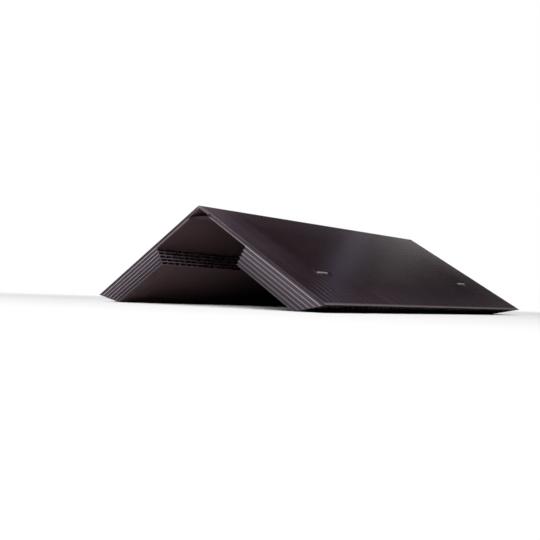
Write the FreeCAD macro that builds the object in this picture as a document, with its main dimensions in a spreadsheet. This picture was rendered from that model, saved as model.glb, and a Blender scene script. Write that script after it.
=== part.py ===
# A fluted plastic ridge vent, folded to an inverted V.
# One folded top sheet, five vent strips under each leaf, two staples through each leaf.
# Leaf frame: X runs down the slope from the fold, Y along the ridge, Z out of the top face.

import FreeCAD, Part
import os
import Sketcher

os.makedirs("parts", exist_ok=True)
doc = FreeCAD.newDocument("ridge_vent")

# Driving sizes in millimetres, angles in degrees.
sizes = doc.addObject("Spreadsheet::Sheet", "Sizes")
driving = {
    "vent_length": "304.8",
    "panel_width": "279.4",
    "slope_angle": "30.26",
    "bevel_angle": "48.4",
    "ply_height": "3.0",
    "skin_height": "0.3",
    "rib_width": "0.3",
    "flute_pitch": "6.3",
    "strip_setback": "57.6",
    "strip_count": "5",
    "fold_radius": "4.0",
    "fold_reach": "13.0",
    "crease_height": "2.0",
    "staple_count": "2",
    "staple_inset": "45.0",
    "staple_drop": "96.0",
    "crown_length": "11.0",
    "wire_width": "1.3",
    "wire_height": "0.6",
    "leg_play": "0.1",
    "leg_stop": "1.5",
}
for row, (alias, value) in enumerate(driving.items(), start=1):
    sizes.set(f"A{row}", alias)
    sizes.set(f"B{row}", value)
    sizes.setAlias(f"B{row}", alias)
doc.recompute()

strip_count = int(sizes.strip_count)
staple_count = int(sizes.staple_count)

# Named formulas over the driving sizes.
SLOPE = "Sizes.slope_angle"
BEVEL = "Sizes.bevel_angle"
PLY = "Sizes.ply_height"
SKIN = "Sizes.skin_height"
LENGTH = "Sizes.vent_length"
LEAF = "Sizes.panel_width / 2"
STACK = "((Sizes.strip_count + 1) * Sizes.ply_height)"
CREST = (
    f"max({LEAF} * sin({SLOPE}); "
    f"({LEAF} - {STACK} * tan({BEVEL})) * sin({SLOPE}) + {STACK} * cos({SLOPE}))"
)
FLUTES = "floor(Sizes.vent_length / Sizes.flute_pitch)"
FIRST_FLUTE = f"(({FLUTES} + 1) * Sizes.flute_pitch / 2)"
FIRST_STAPLE = "(Sizes.vent_length / 2 - Sizes.staple_inset)"
STAPLE_STEP = f"(2 * {FIRST_STAPLE} / max(1; Sizes.staple_count - 1))"
LEG_CENTRE = "(Sizes.crown_length / 2 - Sizes.wire_height / 2)"
THROUGH = f"({PLY} + {SKIN})"
BLIND = f"({PLY} / 2)"


def origin_part(body, role):
    """The body's own origin plane or axis of this role."""
    return next(item for item in body.Origin.OriginFeatures if item.Role == role)


def number(owner, formula):
    """The present value of a formula."""
    return float(owner.evalExpression(formula))


def outline(body, name, plane, corners, radii=None, offset=None):
    """A closed sketch whose corners, and arc radii, follow formulas."""
    radii = radii or {}
    sketch = body.newObject("Sketcher::SketchObject", name)
    sketch.AttachmentSupport = [(origin_part(body, plane), "")]
    sketch.MapMode = "FlatFace"
    points = [FreeCAD.Vector(number(sketch, x), number(sketch, y), 0) for x, y in corners]
    count = len(points)
    for index, start in enumerate(points):
        end = points[(index + 1) % count]
        if index in radii:
            middle = radii[index][1]
            via = FreeCAD.Vector(number(sketch, middle[0]), number(sketch, middle[1]), 0)
            sketch.addGeometry(Part.Arc(start, via, end), False)
        else:
            sketch.addGeometry(Part.LineSegment(start, end), False)
    doc.recompute()
    ends = []
    for index, start in enumerate(points):
        first = sketch.getPoint(index, 1)
        ends.append((1, 2) if first.distanceToPoint(start) < 1e-6 else (2, 1))
    for index in range(count):
        following = (index + 1) % count
        sketch.addConstraint(
            Sketcher.Constraint("Coincident", index, ends[index][1], following, ends[following][0])
        )
    for index, (x, y) in enumerate(corners):
        for axis, formula in (("DistanceX", x), ("DistanceY", y)):
            value = number(sketch, formula)
            place = sketch.addConstraint(
                Sketcher.Constraint(axis, -1, 1, index, ends[index][0], value)
            )
            sketch.setExpression(f"Constraints[{place}]", formula)
    for index, (radius, middle) in radii.items():
        place = sketch.addConstraint(
            Sketcher.Constraint("Radius", index, number(sketch, radius))
        )
        sketch.setExpression(f"Constraints[{place}]", radius)
    if offset:
        sketch.setExpression("AttachmentOffset.Base.z", offset)
    return sketch


def pad(body, name, sketch, length):
    """Material on both sides of the sketch plane."""
    feature = body.newObject("PartDesign::Pad", name)
    feature.Profile = sketch
    feature.SideType = "Symmetric"
    feature.setExpression("Length", length)
    return feature


def pocket(body, name, sketch, length):
    """A cut on both sides of the sketch plane."""
    feature = body.newObject("PartDesign::Pocket", name)
    feature.Profile = sketch
    feature.SideType = "Symmetric"
    feature.setExpression("Length", length)
    return feature


def row_along_ridge(body, name, feature, step, copies):
    """Copies of a feature in a row along the ridge."""
    pattern = body.newObject("PartDesign::LinearPattern", name)
    pattern.Originals = [feature]
    pattern.Direction = (origin_part(body, "Y_Axis"), [""])
    pattern.Mode = "Spacing"
    pattern.setExpression("Offset", step)
    pattern.setExpression("Occurrences", copies)
    body.Tip = pattern
    return pattern


def lean(body):
    """Stand the leaf frame at the fold and tilt it to the roof slope."""
    body.Placement = FreeCAD.Placement(
        FreeCAD.Vector(0, 0, 1), FreeCAD.Rotation(FreeCAD.Vector(0, 1, 0), 1)
    )
    body.setExpression("Placement.Base.z", CREST)
    body.setExpression("Placement.Rotation.Angle", SLOPE)


def cut_flutes(body, start, top):
    """Flutes down the slope, in a row whose first and last are cut open by the gable ends."""
    upper = f"{top} - {SKIN}"
    lower = f"{top} - {PLY} + {SKIN}"
    beyond = f"{LEAF} + {PLY}"
    section = outline(
        body,
        body.Name + "_flute_section",
        "XZ_Plane",
        [(start, lower), (beyond, lower), (beyond, upper), (start, upper)],
        offset=FIRST_FLUTE,
    )
    flute = pocket(body, body.Name + "_flute", section, "Sizes.flute_pitch - Sizes.rib_width")
    row_along_ridge(body, body.Name + "_flutes", flute, "Sizes.flute_pitch", f"{FLUTES} + 2")


def cut_leg_holes(body, top, depth):
    """Holes for both legs of each staple, down from the top face of one ply."""
    for side, sign in (("near", "-"), ("far", "+")):
        middle = f"(-{FIRST_STAPLE} {sign} {LEG_CENTRE})"
        half_width = "(Sizes.wire_width / 2 + Sizes.leg_play)"
        half_height = "(Sizes.wire_height / 2 + Sizes.leg_play)"
        left = f"Sizes.staple_drop - {half_width}"
        right = f"Sizes.staple_drop + {half_width}"
        front = f"{middle} - {half_height}"
        back = f"{middle} + {half_height}"
        section = outline(
            body,
            f"{body.Name}_{side}_leg_section",
            "XY_Plane",
            [(left, front), (right, front), (right, back), (left, back)],
            offset=top,
        )
        hole = pocket(body, f"{body.Name}_{side}_leg_hole", section, f"2 * {depth}")
        row_along_ridge(
            body, f"{body.Name}_{side}_leg_holes", hole, STAPLE_STEP, "Sizes.staple_count"
        )


def mirrored(source, label):
    """The same piece on the other side of the ridge."""
    twin = doc.addObject("Part::Mirroring", label)
    twin.Source = source
    twin.Base = FreeCAD.Vector(0, 0, 0)
    twin.Normal = FreeCAD.Vector(1, 0, 0)
    twin.Label = label
    return twin


pieces = []

# Top sheet: one leaf with its half of the fold, then its twin, joined in the ridge plane.
# The ply is pressed thin along the fold, and its inner skin bridges the fold as a level web.
leaf = doc.addObject("PartDesign::Body", "right_leaf")
lean(leaf)
WEB_FALL = f"(Sizes.fold_reach * sin({SLOPE}) + {PLY} * cos({SLOPE}))"
WEB_TOP = f"({WEB_FALL} - {SKIN})"
CENTRE_X = f"(Sizes.fold_radius * tan({SLOPE}))"
HOLLOW_RADIUS = "(Sizes.fold_radius - Sizes.crease_height)"


def on_fold_arc(radius, share):
    """A point of an arc about the fold's centre, from the ridge plane (0) to the leaf face (1)."""
    angle = f"({SLOPE} * (1 - {share}))"
    return (
        f"{CENTRE_X} - {radius} * sin({angle})",
        f"-Sizes.fold_radius + {radius} * cos({angle})",
    )


leaf_section = outline(
    leaf,
    "leaf_section",
    "XZ_Plane",
    [
        on_fold_arc("Sizes.fold_radius", "0"),
        on_fold_arc("Sizes.fold_radius", "1"),
        (LEAF, "0"),
        (f"{LEAF} - {PLY} * tan({BEVEL})", f"-{PLY}"),
        ("Sizes.fold_reach", f"-{PLY}"),
        (f"{WEB_FALL} * sin({SLOPE})", f"-{WEB_FALL} * cos({SLOPE})"),
        (f"{WEB_TOP} * sin({SLOPE})", f"-{WEB_TOP} * cos({SLOPE})"),
        ("Sizes.fold_reach", f"-{PLY} + {SKIN} / cos({SLOPE})"),
        ("Sizes.fold_reach", "-Sizes.crease_height"),
        on_fold_arc(HOLLOW_RADIUS, "1"),
        on_fold_arc(HOLLOW_RADIUS, "0"),
    ],
    radii={
        0: ("Sizes.fold_radius", on_fold_arc("Sizes.fold_radius", "0.5")),
        9: (HOLLOW_RADIUS, on_fold_arc(HOLLOW_RADIUS, "0.5")),
    },
)
pad(leaf, "leaf_sheet", leaf_section, LENGTH)
cut_flutes(leaf, "Sizes.fold_reach", "0")
cut_leg_holes(leaf, "0", THROUGH)
top_sheet = doc.addObject("Part::Fuse", "top_sheet")
top_sheet.Base = leaf
top_sheet.Tool = mirrored(leaf, "left_leaf")
top_sheet.Refine = True
top_sheet.Label = "top_sheet"
pieces.append(top_sheet)

# Vent strips: square on the ridge side, cut on the eave side by one slanting plane.
for ply in range(1, strip_count + 1):
    strip = doc.addObject("PartDesign::Body", f"right_strip_{ply}")
    strip.Label = f"right_strip_{ply}"
    lean(strip)
    strip_top = f"-{ply} * {PLY}"
    strip_base = f"-{ply + 1} * {PLY}"
    strip_section = outline(
        strip,
        f"strip_section_{ply}",
        "XZ_Plane",
        [
            ("Sizes.strip_setback", strip_base),
            (f"{LEAF} + {strip_base} * tan({BEVEL})", strip_base),
            (f"{LEAF} + {strip_top} * tan({BEVEL})", strip_top),
            ("Sizes.strip_setback", strip_top),
        ],
    )
    pad(strip, f"strip_sheet_{ply}", strip_section, LENGTH)
    cut_flutes(strip, f"Sizes.strip_setback - {PLY}", f"({strip_top})")
    cut_leg_holes(strip, f"({strip_top})", THROUGH if ply < strip_count else BLIND)
    pieces.append(strip)
    pieces.append(mirrored(strip, f"left_strip_{ply}"))

# Staples: flat wire, crown on the top sheet, legs down into the lowest strip.
for place in range(1, staple_count + 1):
    staple = doc.addObject("PartDesign::Body", f"right_staple_{place}")
    staple.Label = f"right_staple_{place}"
    lean(staple)
    along = f"(-{FIRST_STAPLE} + {place - 1} * {STAPLE_STEP})"
    outer = "Sizes.crown_length / 2"
    inner = "(Sizes.crown_length / 2 - Sizes.wire_height)"
    leg_end = f"-({STACK} - Sizes.leg_stop)"
    staple_section = outline(
        staple,
        f"staple_section_{place}",
        "YZ_Plane",
        [
            (f"{along} - {outer}", leg_end),
            (f"{along} - {inner}", leg_end),
            (f"{along} - {inner}", "0"),
            (f"{along} + {inner}", "0"),
            (f"{along} + {inner}", leg_end),
            (f"{along} + {outer}", leg_end),
            (f"{along} + {outer}", "Sizes.wire_height"),
            (f"{along} - {outer}", "Sizes.wire_height"),
        ],
        offset="Sizes.staple_drop",
    )
    pad(staple, f"staple_wire_{place}", staple_section, "Sizes.wire_width")
    pieces.append(staple)
    pieces.append(mirrored(staple, f"left_staple_{place}"))

doc.recompute()
for item in doc.Objects:
    if "Invalid" in item.State or "Error" in item.State:
        raise RuntimeError(f"{item.Name} did not build")
for piece in pieces:
    shape = piece.Shape
    if shape.isNull() or not shape.isValid() or len(shape.Solids) != 1:
        raise RuntimeError(f"{piece.Label} is not one valid solid")
    shape.exportStep(f"parts/{piece.Label}.step")
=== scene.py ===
"""Looks for a folded, fluted plastic ridge vent on a plain pale floor."""

import math
from types import SimpleNamespace

import bmesh
import bpy
from mathutils import Matrix, Quaternion, Vector

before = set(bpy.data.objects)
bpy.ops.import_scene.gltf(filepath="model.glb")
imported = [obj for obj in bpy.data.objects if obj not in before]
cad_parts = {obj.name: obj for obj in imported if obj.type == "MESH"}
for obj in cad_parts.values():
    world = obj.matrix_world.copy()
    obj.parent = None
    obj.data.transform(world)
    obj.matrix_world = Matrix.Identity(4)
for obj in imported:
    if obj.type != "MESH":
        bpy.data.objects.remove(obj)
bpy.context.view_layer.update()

# Sizes of the vent, in metres and radians.
SLOPE = math.radians(30.26)
LEAF = 0.1397
STACK = 0.018
PLY = 0.003
BEVEL = math.radians(48.4)
CREST = (LEAF - STACK * math.tan(BEVEL)) * math.sin(SLOPE) + STACK * math.cos(SLOPE)
HALF_LENGTH = 0.1524
FLUTE_PITCH = 0.0063
FOLD_HALF = 0.0115
FOLD_DROP = 0.0088
STAPLE_DROP = 0.096
STAPLE_ALONG = HALF_LENGTH - 0.045
STAPLE_HALF = 0.0052

# Colours of the plastic, from the bare sheet to its cut edges.
SHEET_DARK = (0.0122, 0.0060, 0.0079, 1.0)
# The paler skin: random streaks, and a painted sheen along each rib.
SHEET_PALE_AND_RIB_SHEEN = (0.0225, 0.0126, 0.0162, 1.0)
# A paler skin: random clouds, and a painted sheen near the ridge, the eave and the gables.
SHEET_HAZE_AND_SHEEN = (0.046, 0.031, 0.0405, 1.0)
# Painted fill light: a paler tone for faces that look down.
UNDERSIDE_FILL_LIGHT = (0.064, 0.038, 0.041, 1.0)
# Painted fill light: a grey tone for the recessed flute ends at the cuts.
END_FILL_LIGHT = (0.086, 0.067, 0.082, 1.0)
CUT_DARK = (0.155, 0.133, 0.15, 1.0)
CUT_PALE = (0.33, 0.295, 0.325, 1.0)
FOLD_WHITENED = (0.16, 0.11, 0.122, 1.0)
# Wear and whitening, and a painted highlight along the eave.
WORN_EDGE_AND_HIGHLIGHT = (0.12, 0.098, 0.11, 1.0)

# Colours of the staples' zinc.
ZINC_PALE = (0.55, 0.54, 0.55, 1.0)
ZINC_DARK = (0.4, 0.39, 0.41, 1.0)

# Where the plastic changes: each pair is the start and the end of a soft step.
# Depth is measured out of the top face, and along from the middle of the ridge.
OUTER_DEPTH = (-0.0004, -0.0002)
INNER_DEPTH = (-0.00012, -0.00004)
CREASE_DEPTH = (-0.0012, -0.0006)
FOLD_DEPTH = (-0.0019, -0.0016)
# Painted shade: the lower plies at the cut ends fall darker.
LOW_PLIES_SHADE = (-0.0145, -0.0075)
SHEET_DEPTH = (0.0004 - PLY, -0.0003)
SEAM_REACH = (0.0003, 0.0006)
GABLE_SKIN = (HALF_LENGTH - 0.0003, HALF_LENGTH - 0.0001)
GABLE_END = (HALF_LENGTH - 0.0020, HALF_LENGTH - 0.0014)
GABLE_RIM = (HALF_LENGTH - 0.0022, HALF_LENGTH - 0.0004)
# Painted sheen near each gable.
GABLE_SHEEN = (HALF_LENGTH - 0.05, HALF_LENGTH)
# Painted highlight along the eave's edge.
EAVE_HIGHLIGHT = (LEAF - 0.0036, LEAF - 0.0012)
FOLD_SIDE = (FOLD_HALF - 0.001, FOLD_HALF)
FOLD_FLOOR = (-FOLD_DROP - 0.0001, 0.0001 - FOLD_DROP)
WEB_BASE = (-FOLD_DROP - 0.0005, -FOLD_DROP - 0.0004)
WEB_TOP = (-FOLD_DROP - 0.0001, -FOLD_DROP)
CREASE_REACH = (0.0016, 0.0034)
STAPLE_WORN = (0.0004, 0.0026)
STAPLE_DRAWN = (0.0005, 0.0045)

# Cosines of the angle at which a face counts as square to a direction.
END_FACING = (0.9, 0.95)
CUT_FACING = (0.97, 0.995)

# Noise in the plastic, in cycles a metre, and how streaks are drawn out down the slope.
FINE_STREAKS = 700.0
BROAD_STREAKS = 110.0
CLOUDS = 22.0
WARPS = 14.0
SPECKS = 1400.0
STREAK_DRAW = 0.06
STREAK_SPREAD = 20.0

# Heights of the plastic's relief, in metres.
RIB_RELIEF = 0.00005
STREAK_RELIEF = 0.000004
SPECK_RELIEF = 0.0000007
WARP_RELIEF = 0.0002
STAPLE_RELIEF = 0.0004

# Eased edges of the staples' flat wire.
SAME_POINT = 0.000001
EASED_WIDTH = 0.00018
EASED_STEPS = 3

# Camera, from the photo's perspective.
CAMERA_AT = (0.39478, -0.51764, 0.00938)
CAMERA_YAW = math.radians(41.425)
CAMERA_PITCH = math.radians(2.095)
CAMERA_ROLL = math.radians(2.083)
CAMERA_LENS = 48.01
SENSOR = 36.0
CLIP_NEAR = 0.001
CLIP_FAR = 50.0

# Studio: a round floor, a wall all round it, and a grey pool of floor under the object.
FLOOR_RADIUS = 16.0
FLOOR_SIDES = 180
WALL_BEND = 1.2
BEND_STEPS = 12
WALL_LOW = 4.4
WALL_TALL = 7.1
TALL_FROM = math.radians(110.0)
TALL_TO = math.radians(156.0)
TALL_EASE = math.radians(2.0)
STUDIO_WHITE = (0.86, 0.86, 0.86, 1.0)
GLOW_WHITE = (1.0, 1.0, 1.0, 1.0)
POOL_INNER = 0.26
POOL_OUTER = 0.8

# Lamps, what they face, and the dim room.
MIDDLE = (0.0, 0.0, 0.03)
ON_SLOPE = (0.09, -0.08, 0.03)
ON_RIDGE = (0.02, -0.13, 0.06)
LAMPS = {
    "overhead": {"at": (0.4, -0.6, 2.2), "target": MIDDLE, "size": (1.8, 1.8), "power": 34.0},
    "front": {"at": (0.7, -1.9, 1.25), "target": MIDDLE, "size": (1.6, 0.8), "power": 46.0},
    "sheen": {
        "at": (-0.84, 2.27, 1.455),
        "target": ON_SLOPE,
        "size": (0.09, 0.26),
        "power": 0.095,
        "colour": (0.68, 0.64, 1.0),
        "spin": math.radians(53.0),
    },
    "ridge_sheen": {
        "at": (-1.48, 1.86, 1.74),
        "target": ON_RIDGE,
        "size": (0.4, 0.6),
        "power": 0.45,
        "colour": (1.0, 0.82, 0.98),
    },
}
ROOM_COLOUR = (0.9, 0.95, 1.0, 1.0)
ROOM_STRENGTH = 0.05


class Graph:
    """Short calls for building a material's nodes."""

    def __init__(self, name):
        self.material = bpy.data.materials.new(name)
        self.material.use_nodes = True
        self.tree = self.material.node_tree
        self.tree.nodes.clear()

    def add(self, kind, **settings):
        node = self.tree.nodes.new(kind)
        for key, value in settings.items():
            setattr(node, key, value)
        return node

    def feed(self, socket, value):
        if isinstance(value, bpy.types.NodeSocket):
            self.tree.links.new(value, socket)
        else:
            socket.default_value = value

    def math(self, operation, first, second=None):
        node = self.add("ShaderNodeMath", operation=operation)
        self.feed(node.inputs[0], first)
        if second is not None:
            self.feed(node.inputs[1], second)
        return node.outputs[0]

    def chain(self, operation, values):
        result = values[0]
        for value in values[1:]:
            result = self.math(operation, result, value)
        return result

    def product(self, *values):
        return self.chain("MULTIPLY", values)

    def total(self, *values):
        return self.chain("ADD", values)

    def largest(self, *values):
        return self.chain("MAXIMUM", values)

    def less(self, first, second):
        return self.math("SUBTRACT", first, second)

    def absolute(self, value):
        return self.math("ABSOLUTE", value)

    def hypot(self, first, second):
        squares = self.total(self.product(first, first), self.product(second, second))
        return self.math("SQRT", squares)

    def band(self, value, low, high, start=0.0, end=1.0):
        node = self.add("ShaderNodeMapRange", interpolation_type="SMOOTHSTEP")
        self.feed(node.inputs["Value"], value)
        node.inputs["From Min"].default_value = low
        node.inputs["From Max"].default_value = high
        node.inputs["To Min"].default_value = start
        node.inputs["To Max"].default_value = end
        return node.outputs["Result"]

    def fade(self, value, low, high):
        return self.band(value, low, high, 1.0, 0.0)

    def mix(self, factor, first, second, blend="MIX"):
        node = self.add("ShaderNodeMix", data_type="RGBA", blend_type=blend)
        self.feed(node.inputs["Factor"], factor)
        self.feed(node.inputs[6], first)
        self.feed(node.inputs[7], second)
        return node.outputs[2]

    def combine(self, x, y, z):
        node = self.add("ShaderNodeCombineXYZ")
        for index, value in enumerate((x, y, z)):
            self.feed(node.inputs[index], value)
        return node.outputs[0]

    def separate(self, vector):
        node = self.add("ShaderNodeSeparateXYZ")
        self.feed(node.inputs[0], vector)
        return node.outputs

    def noise(self, vector, scale, detail=3.0, roughness=0.55):
        node = self.add("ShaderNodeTexNoise")
        self.feed(node.inputs["Vector"], vector)
        node.inputs["Scale"].default_value = scale
        node.inputs["Detail"].default_value = detail
        node.inputs["Roughness"].default_value = roughness
        return node.outputs["Fac"]

    def bump(self, height, strength, distance):
        node = self.add("ShaderNodeBump")
        node.inputs["Strength"].default_value = strength
        node.inputs["Distance"].default_value = distance
        self.feed(node.inputs["Height"], height)
        return node.outputs[0]

    def principled(self, colour, roughness, normal):
        shader = self.add("ShaderNodeBsdfPrincipled")
        self.feed(shader.inputs["Base Color"], colour)
        self.feed(shader.inputs["Roughness"], roughness)
        self.feed(shader.inputs["Normal"], normal)
        return shader

    def finish(self, shader):
        output = self.add("ShaderNodeOutputMaterial")
        self.feed(output.inputs[0], shader.outputs[0])
        return self.material


def sheet_place(graph):
    """A point's place on either leaf: across from the ridge, down the slope, out of the stack."""
    point = graph.add("ShaderNodeTexCoord").outputs["Object"]
    x, y, z = graph.separate(point)
    across = graph.absolute(x)
    rise = graph.less(z, CREST)
    down = graph.less(
        graph.product(across, math.cos(SLOPE)), graph.product(rise, math.sin(SLOPE))
    )
    depth = graph.total(
        graph.product(across, math.sin(SLOPE)), graph.product(rise, math.cos(SLOPE))
    )
    along = graph.absolute(y)
    staple_y = graph.less(graph.absolute(graph.less(along, STAPLE_ALONG)), STAPLE_HALF)
    staple_gap = graph.hypot(graph.largest(staple_y, 0.0), graph.less(down, STAPLE_DROP))
    return SimpleNamespace(
        point=point,
        x=x,
        y=y,
        across=across,
        along=along,
        rise=rise,
        down=down,
        depth=depth,
        staple_gap=staple_gap,
    )


def sheet_faces(graph, at):
    """Masks by depth and true normal: outer face, cuts, cut ends, underside and fold web."""
    band, product, fade = graph.band, graph.product, graph.fade
    facing_x, facing_y, up = graph.separate(
        graph.add("ShaderNodeNewGeometry").outputs["True Normal"]
    )
    away = product(facing_x, graph.math("SIGN", at.x))
    eave_facing = graph.less(
        product(away, math.cos(BEVEL + SLOPE)), product(up, math.sin(BEVEL + SLOPE))
    )
    ridge_facing = graph.less(product(up, math.sin(SLOPE)), product(away, math.cos(SLOPE)))
    web = product(
        fade(at.across, *FOLD_SIDE), band(at.rise, *WEB_BASE), fade(at.rise, *WEB_TOP)
    )
    gable_cut = product(
        band(graph.absolute(facing_y), *END_FACING),
        band(at.along, *GABLE_SKIN),
        graph.less(0.9, product(web, 0.8)),
    )
    cut = graph.largest(
        gable_cut,
        product(band(eave_facing, *CUT_FACING), 0.5),
        product(band(ridge_facing, *CUT_FACING), 0.6),
    )
    return SimpleNamespace(
        outer=band(at.depth, *OUTER_DEPTH),
        end_zone=product(fade(at.depth, *INNER_DEPTH), band(at.along, *GABLE_END)),
        web=web,
        cut=cut,
        under=product(fade(up, -0.84, -0.7), band(up, -0.97, -0.93)),
        floor_side=fade(up, -0.99, -0.96),
    )


def sheet_marks(graph, at):
    """Noise and rib lines: streaks are drawn out down the slope, with the flutes."""
    drawn = graph.combine(
        graph.product(at.down, STREAK_DRAW), at.y, graph.product(at.depth, STREAK_SPREAD)
    )
    fine = graph.noise(drawn, FINE_STREAKS, detail=2.0)
    broad = graph.noise(drawn, BROAD_STREAKS)
    turns = graph.product(graph.total(at.y, HALF_LENGTH), 2.0 * math.pi / FLUTE_PITCH)
    return SimpleNamespace(
        fine=fine,
        broad=broad,
        streak=graph.total(graph.product(fine, 0.6), graph.product(broad, 0.4)),
        cloud=graph.noise(at.point, CLOUDS, detail=4.0),
        warp=graph.noise(at.point, WARPS, detail=0.0),
        speck=graph.noise(at.point, SPECKS, detail=2.0),
        ribs=graph.math("COSINE", turns),
    )


def sheet_skin(graph, at, faces, marks):
    """Near black with a warm violet cast and random clouds, painted sheen on the ribs and edges,
    painted fill light below and at the ends, paler where it is cut.
    """
    band, product, mix = graph.band, graph.product, graph.mix
    # Painted sheen: a paler line over each rib stands in for the ribs' reflections; the streaks
    # are random tone.
    rib_sheen_line = product(band(marks.ribs, 0.55, 1.0), band(marks.cloud, 0.35, 0.65, 0.4, 0.95))
    lines = graph.largest(product(band(marks.streak, 0.35, 0.65), 0.5), rib_sheen_line)
    skin = mix(lines, SHEET_DARK, SHEET_PALE_AND_RIB_SHEEN)
    # Painted sheen: paler skin near the ridge, the eave and the gables stands in for reflections
    # on the slope; the clouds below are random tone.
    painted_sheen = graph.largest(
        band(at.down, 0.0, 0.04, 0.36, 0.0),
        band(at.down, 0.108, 0.137, 0.0, 0.4),
        product(band(at.along, *GABLE_SHEEN, 0.0, 0.8), band(at.down, 0.05, 0.11, 1.0, 0.25)),
    )
    haze_and_sheen = graph.total(
        product(painted_sheen, band(marks.streak, 0.3, 0.7, 0.7, 1.3)),
        band(marks.cloud, 0.45, 0.75, 0.0, 0.12),
    )
    skin = mix(haze_and_sheen, skin, SHEET_HAZE_AND_SHEEN)
    # Painted fill light: faces that look down get a paler tone in place of light bounced up from
    # the floor.
    skin = mix(faces.under, skin, UNDERSIDE_FILL_LIGHT)
    # Painted fill light: the recessed flute ends near each cut are paler, less so in the fold's
    # web.
    end_fill_light = product(faces.end_zone, graph.less(0.9, product(faces.web, 0.5)))
    skin = mix(end_fill_light, skin, END_FILL_LIGHT)
    return mix(faces.cut, skin, mix(marks.speck, CUT_DARK, CUT_PALE))


def painted_end_shade(graph, at):
    """Painted shade at the cut ends: the right leaf's sheet edge, the fold and the lower plies are
    darker, and the seam under the top sheet is lighter.
    """
    band, product = graph.band, graph.product
    sheet_edge_shade = product(
        band(at.depth, *SHEET_DEPTH, 0.0, 0.78),
        band(at.down, 0.02, 0.07),
        band(at.x, -0.001, 0.001),
    )
    fold_shade = product(
        graph.fade(at.across, 0.0105, 0.0125),
        band(at.x, -0.0015, 0.0015, 0.78, 0.55),
        band(at.across, 0.001, 0.003, 0.45, 1.0),
    )
    seam = graph.absolute(graph.total(at.depth, PLY))
    gain = product(
        band(at.depth, *LOW_PLIES_SHADE, 0.7, 1.1),
        graph.less(1.0, sheet_edge_shade),
        band(seam, *SEAM_REACH, 1.3, 1.0),
        graph.less(1.0, fold_shade),
    )
    return graph.combine(gain, gain, gain)


def wear_and_eave_highlight(graph, at, faces, marks):
    """Wear along the crease and the gable rims and in blots round each staple, and a painted
    highlight along the eave.
    """
    band, product = graph.band, graph.product
    crease = product(graph.fade(at.down, *CREASE_REACH), band(at.depth, *CREASE_DEPTH))
    rim = product(band(at.along, *GABLE_RIM), band(marks.speck, 0.35, 0.7))
    blots = product(
        band(at.staple_gap, *STAPLE_WORN, 0.4, 0.0), band(marks.speck, 0.35, 0.65, 0.15, 1.0)
    )
    return graph.largest(
        product(crease, 0.4),
        # Painted highlight: a paler line along the eave's edge.
        product(faces.outer, band(at.down, *EAVE_HIGHLIGHT)),
        product(faces.outer, rim, 0.35),
        product(faces.outer, blots),
    )


def black_plastic():
    """Black fluted sheet: painted sheen on the ribs and edges, streaks, clouds, pale saw-cut
    edges, painted light and shade at the cut ends, a whitened fold.
    """
    graph = Graph("black_plastic")
    at = sheet_place(graph)
    faces = sheet_faces(graph, at)
    marks = sheet_marks(graph, at)

    colour = sheet_skin(graph, at, faces, marks)
    # Painted shade on the cut ends.
    colour = graph.mix(faces.end_zone, colour, painted_end_shade(graph, at), blend="MULTIPLY")
    in_fold = graph.product(
        graph.fade(at.across, *FOLD_SIDE),
        graph.band(at.rise, *FOLD_FLOOR),
        graph.fade(at.depth, *FOLD_DEPTH),
    )
    colour = graph.mix(in_fold, colour, FOLD_WHITENED)
    colour = graph.mix(wear_and_eave_highlight(graph, at, faces, marks), colour, WORN_EDGE_AND_HIGHLIGHT)

    # Relief: the skin stands up over the ribs and is drawn in round each staple.
    swell = graph.total(
        graph.product(marks.ribs, RIB_RELIEF),
        graph.product(marks.fine, STREAK_RELIEF),
        graph.product(marks.speck, SPECK_RELIEF),
        graph.product(marks.warp, WARP_RELIEF),
    )
    dimple = graph.product(faces.outer, graph.fade(at.staple_gap, *STAPLE_DRAWN))
    height = graph.less(swell, graph.product(dimple, STAPLE_RELIEF))

    dull = graph.largest(faces.cut, faces.end_zone, faces.floor_side)
    rough = graph.total(graph.band(marks.broad, 0.3, 0.7, 0.14, 0.18), graph.product(dull, 0.4))
    shader = graph.principled(colour, rough, graph.bump(height, strength=0.6, distance=1.0))
    shader.inputs["Specular IOR Level"].default_value = 0.02
    return graph.finish(shader)


def staple_wire():
    """Dull drawn wire with fine lines along it and a spotted zinc skin."""
    graph = Graph("staple_wire")
    place = graph.add("ShaderNodeTexCoord").outputs["Object"]
    stretch = graph.add("ShaderNodeMapping")
    graph.feed(stretch.inputs["Vector"], place)
    stretch.inputs["Scale"].default_value = (1.0, 0.05, 1.0)
    lines = graph.noise(stretch.outputs[0], 6000.0, detail=2.0)
    spots = graph.noise(place, 900.0)
    colour = graph.mix(graph.band(spots, 0.4, 0.7), ZINC_PALE, ZINC_DARK)
    rough = graph.band(spots, 0.3, 0.7, 0.55, 0.7)
    shader = graph.principled(colour, rough, graph.bump(lines, strength=0.4, distance=0.00003))
    shader.inputs["Metallic"].default_value = 1.0
    return graph.finish(shader)


def dress_nodes():
    """Give each CAD piece its material, and ease the staples' wire edges."""
    plastic = black_plastic()
    wire = staple_wire()
    for name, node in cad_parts.items():
        staple = "staple" in name
        node.data.materials.clear()
        node.data.materials.append(wire if staple else plastic)
        if staple:
            joined = node.modifiers.new("joined_points", "WELD")
            joined.merge_threshold = SAME_POINT
            ease = node.modifiers.new("eased_edges", "BEVEL")
            ease.width = EASED_WIDTH
            ease.segments = EASED_STEPS
            ease.limit_method = "ANGLE"


def wall_height(turn):
    """The wall is tall behind the object, as the camera sees it, and low elsewhere."""
    outside = max(TALL_FROM - turn, turn - TALL_TO, 0.0)
    share = max(1.0 - outside / TALL_EASE, 0.0)
    return WALL_LOW + (WALL_TALL - WALL_LOW) * share * share * (3.0 - 2.0 * share)


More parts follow.
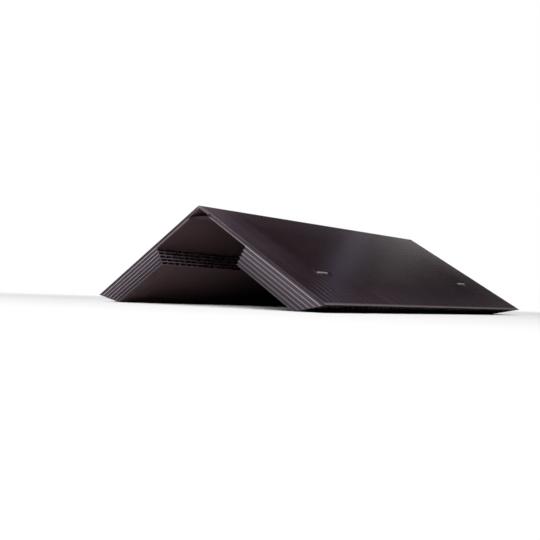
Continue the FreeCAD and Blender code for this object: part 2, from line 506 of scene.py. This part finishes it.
def studio_mesh():
    """The floor's disc, the bend and the wall, ring by ring."""
    turns = [2.0 * math.pi * side / FLOOR_SIDES for side in range(FLOOR_SIDES)]
    levels = []
    for step in range(BEND_STEPS + 1):
        angle = 0.5 * math.pi * step / BEND_STEPS
        radius = FLOOR_RADIUS - WALL_BEND + WALL_BEND * math.sin(angle)
        levels.append([(radius, WALL_BEND - WALL_BEND * math.cos(angle))] * FLOOR_SIDES)
    levels.append([(FLOOR_RADIUS, wall_height(turn)) for turn in turns])
    form = bmesh.new()
    rings = []
    for level in levels:
        ring = []
        for turn, (radius, height) in zip(turns, level):
            ring.append(form.verts.new((radius * math.cos(turn), radius * math.sin(turn), height)))
        rings.append(ring)
    form.faces.new(rings[0])
    for lower, upper in zip(rings, rings[1:]):
        for side in range(FLOOR_SIDES):
            following = (side + 1) % FLOOR_SIDES
            face = form.faces.new((lower[side], lower[following], upper[following], upper[side]))
            face.smooth = True
    mesh = bpy.data.meshes.new("studio")
    form.to_mesh(mesh)
    form.free()
    return mesh


def studio_white():
    """Pale matt floor that takes shadow round the object and is seen as white beyond it."""
    graph = Graph("studio_white")
    matt = graph.add("ShaderNodeBsdfDiffuse")
    matt.inputs["Color"].default_value = STUDIO_WHITE
    glow = graph.add("ShaderNodeEmission")
    glow.inputs["Color"].default_value = GLOW_WHITE
    path = graph.add("ShaderNodeLightPath").outputs
    seen = graph.largest(path["Is Camera Ray"], path["Is Glossy Ray"], path["Is Transmission Ray"])
    x, y, _ = graph.separate(graph.add("ShaderNodeNewGeometry").outputs["Position"])
    far = graph.band(graph.hypot(x, y), POOL_INNER, POOL_OUTER)
    blend = graph.add("ShaderNodeMixShader")
    graph.feed(blend.inputs[0], graph.product(seen, far))
    graph.feed(blend.inputs[1], matt.outputs[0])
    graph.feed(blend.inputs[2], glow.outputs[0])
    return graph.finish(blend)


def studio():
    """One pale surface: floor, bend and wall all round."""
    mesh = studio_mesh()
    mesh.materials.append(studio_white())
    backdrop = bpy.data.objects.new("studio", mesh)
    bpy.context.scene.collection.objects.link(backdrop)


def softbox(name, at, target, size, power, colour=(1.0, 1.0, 1.0), spin=0.0):
    """A rectangular lamp that faces its target, turned about that line by spin."""
    lamp = bpy.data.lights.new(name, "AREA")
    lamp.shape = "RECTANGLE"
    lamp.size, lamp.size_y = size
    lamp.energy = power
    lamp.color = colour
    holder = bpy.data.objects.new(name, lamp)
    holder.location = at
    facing = (Vector(target) - Vector(at)).to_track_quat("-Z", "Y")
    holder.rotation_euler = (facing @ Quaternion((0.0, 0.0, 1.0), spin)).to_euler()
    bpy.context.scene.collection.objects.link(holder)


def lights():
    """Soft light from above and in front, two dim strips for the slope's sheen, a dim room."""
    for name, settings in LAMPS.items():
        softbox(name, **settings)
    world = bpy.data.worlds.new("room")
    bpy.context.scene.world = world
    world.use_nodes = True
    back = world.node_tree.nodes["Background"]
    back.inputs["Color"].default_value = ROOM_COLOUR
    back.inputs["Strength"].default_value = ROOM_STRENGTH


def camera():
    """The photo's eye point, direction, tilt and focal length."""
    forward = Vector(
        (
            -math.sin(CAMERA_YAW) * math.cos(CAMERA_PITCH),
            math.cos(CAMERA_YAW) * math.cos(CAMERA_PITCH),
            math.sin(CAMERA_PITCH),
        )
    )
    level = Vector((math.cos(CAMERA_YAW), math.sin(CAMERA_YAW), 0.0))
    above = level.cross(forward)
    right = math.cos(CAMERA_ROLL) * level + math.sin(CAMERA_ROLL) * above
    up = -math.sin(CAMERA_ROLL) * level + math.cos(CAMERA_ROLL) * above
    turn = Matrix((right, up, -forward)).transposed().to_4x4()
    eye = bpy.data.cameras.new("camera")
    eye.lens = CAMERA_LENS
    eye.sensor_width = SENSOR
    eye.clip_start = CLIP_NEAR
    eye.clip_end = CLIP_FAR
    holder = bpy.data.objects.new("camera", eye)
    holder.matrix_world = Matrix.Translation(CAMERA_AT) @ turn
    bpy.context.scene.collection.objects.link(holder)
    bpy.context.scene.camera = holder


dress_nodes()
studio()
lights()
camera()
bpy.context.scene.view_settings.view_transform = "Standard"
